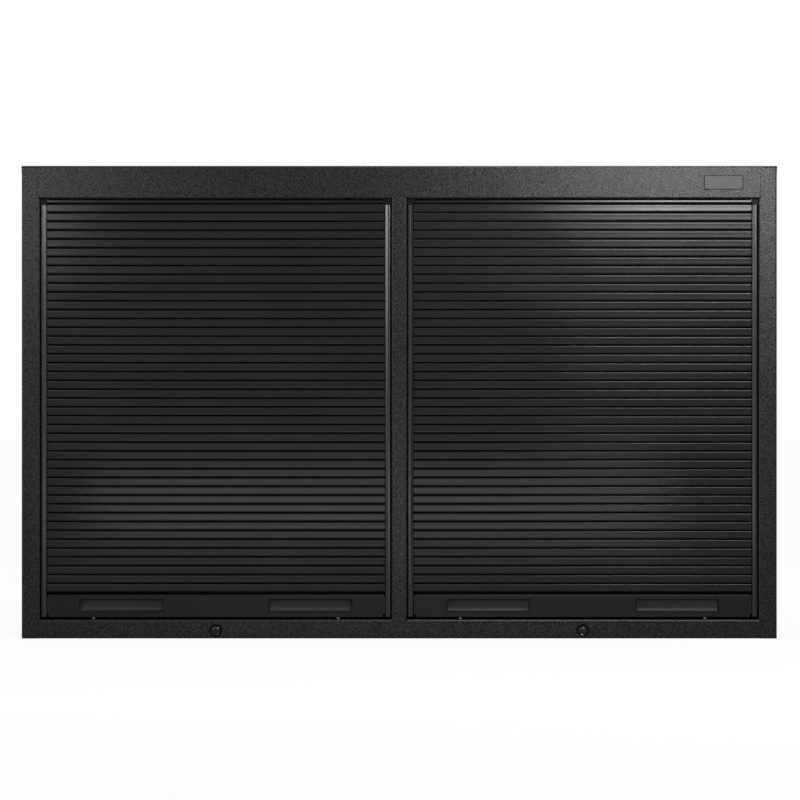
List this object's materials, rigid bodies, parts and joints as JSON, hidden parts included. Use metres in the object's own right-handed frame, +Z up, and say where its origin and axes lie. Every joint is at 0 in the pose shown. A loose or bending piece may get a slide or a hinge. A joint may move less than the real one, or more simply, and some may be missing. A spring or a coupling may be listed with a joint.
{
  "type": "wall cabinet with tambour doors",
  "caption": "Long black wall cabinet with side-by-side tambour doors that roll up behind a header onto spring barrels, with finger pulls, cam locks and shelves.",
  "frame": {"origin": "middle of the base, halfway between the sides and between the front and back faces", "axes": "+X along the front to the viewer's right, +Y from the doors to the wall, +Z up"},
  "size_m": [1.36, 0.3524, 0.85],
  "materials": {
    "coat": "fine textured black powder coat",
    "slat_alloy": "satin black anodised",
    "track_alloy": "satin dark anodised",
    "plastic": "black moulded",
    "bumper": "grey, moulded",
    "lock_black": "gloss black",
    "zinc": "zinc plated",
    "spring": "oiled spring steel"
  },
  "bodies": {
    "case": {"top_panel": "coat", "bottom_panel": "coat", "back_panel": "coat", "centre_post": "coat", "centre_divider": "coat", "lower_wall_rail": "coat", "upper_wall_rail": "coat", "lock_bodies": "lock_black", "lock_clips": "zinc", "left_side_panel": "coat", "left_outer_track": "track_alloy", "left_inner_track": "track_alloy", "left_track_guides": "plastic", "left_roller_cover": "coat", "left_barrel_brackets": "zinc", "left_barrel_shaft": "zinc", "left_shelf_strips": "coat", "left_shelf_clips": "zinc", "left_shelf": "coat", "right_side_panel": "coat", "right_outer_track": "track_alloy", "right_inner_track": "track_alloy", "right_track_guides": "plastic", "right_roller_cover": "coat", "right_barrel_brackets": "zinc", "right_barrel_shaft": "zinc", "right_shelf_strips": "coat", "right_shelf_clips": "zinc", "right_shelf": "coat"},
    "left_door": {"left_curtain_slats": "slat_alloy", "left_bottom_bar": "slat_alloy", "left_bar_end_guides": "plastic", "left_door_pulls": "plastic", "left_door_bumpers": "bumper", "left_lock_stud": "zinc"},
    "left_barrel": {"left_barrel_tube": "zinc", "left_barrel_plugs": "plastic", "left_barrel_spring": "spring", "left_curtain_hangers": "spring"},
    "left_lock": {"left_lock_plug": "lock_black", "left_lock_cam": "zinc"},
    "right_door": {"right_curtain_slats": "slat_alloy", "right_bottom_bar": "slat_alloy", "right_bar_end_guides": "plastic", "right_door_pulls": "plastic", "right_door_bumpers": "bumper", "right_lock_stud": "zinc"},
    "right_barrel": {"right_barrel_tube": "zinc", "right_barrel_plugs": "plastic", "right_barrel_spring": "spring", "right_curtain_hangers": "spring"},
    "right_lock": {"right_lock_plug": "lock_black", "right_lock_cam": "zinc"}
  },
  "joints": [
    {"name": "left_door_lift", "type": "slide", "parent": "case", "child": "left_door", "axis": [0, 0, 1], "range_m": [0, 0.69], "deforming": ["left_curtain_slats", "left_curtain_hangers"]},
    {"name": "left_barrel_turn", "type": "hinge", "parent": "case", "child": "left_barrel", "pos_m": [-0.33, -0.10715, 0.799], "axis": [-1, 0, 0], "range_deg": [0, 1140]},
    {"name": "left_lock_turn", "type": "hinge", "parent": "case", "child": "left_lock", "pos_m": [-0.33, -0.1654, 0.0148], "axis": [0, -1, 0], "range_deg": [0, 90]},
    {"name": "right_door_lift", "type": "slide", "parent": "case", "child": "right_door", "axis": [0, 0, 1], "range_m": [0, 0.69], "deforming": ["right_curtain_slats", "right_curtain_hangers"]},
    {"name": "right_barrel_turn", "type": "hinge", "parent": "case", "child": "right_barrel", "pos_m": [0.33, -0.10715, 0.799], "axis": [-1, 0, 0], "range_deg": [0, 1140]},
    {"name": "right_lock_turn", "type": "hinge", "parent": "case", "child": "right_lock", "pos_m": [0.33, -0.1654, 0.0148], "axis": [0, -1, 0], "range_deg": [0, 90]}
  ],
  "couplings": [
    {"joint": "left_barrel_turn", "follows": "left_door_lift", "rad_per_m": 28.65},
    {"joint": "right_barrel_turn", "follows": "right_door_lift", "rad_per_m": 28.65}
  ]
}
